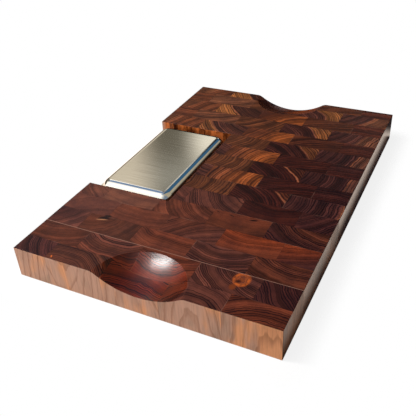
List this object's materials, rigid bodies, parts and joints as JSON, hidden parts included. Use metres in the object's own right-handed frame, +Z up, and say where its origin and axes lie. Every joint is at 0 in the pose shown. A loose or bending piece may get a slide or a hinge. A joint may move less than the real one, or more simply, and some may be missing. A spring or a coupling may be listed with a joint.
{
  "type": "butcher block cutting board",
  "caption": "Thick end-grain board with a dished hand-hold at each end and a pressed steel tray that slides in grooves in its side.",
  "frame": {"origin": "middle of the board's underside, on the surface it rests on", "axes": "+Z up, +Y along the length to the far end, +X to the right, away from the tray"},
  "size_m": [0.4109, 0.6096, 0.0508],
  "materials": {
    "end_grain": "oiled and buffed end grain",
    "steel": "brushed flat, polished edges"
  },
  "bodies": {
    "board": {"strip_01": "end_grain", "strip_02": "end_grain", "strip_03": "end_grain", "strip_04": "end_grain", "strip_05": "end_grain", "strip_06": "end_grain", "strip_07": "end_grain", "strip_08": "end_grain", "strip_09": "end_grain", "strip_10": "end_grain", "strip_11": "end_grain", "strip_12": "end_grain", "strip_13": "end_grain", "strip_14": "end_grain", "strip_15": "end_grain", "strip_16": "end_grain"},
    "tray": {"tray": "steel"}
  },
  "joints": [
    {"name": "tray_slide", "type": "slide", "parent": "board", "child": "tray", "axis": [-1, 0, 0], "range_m": [0, 0.155]}
  ]
}
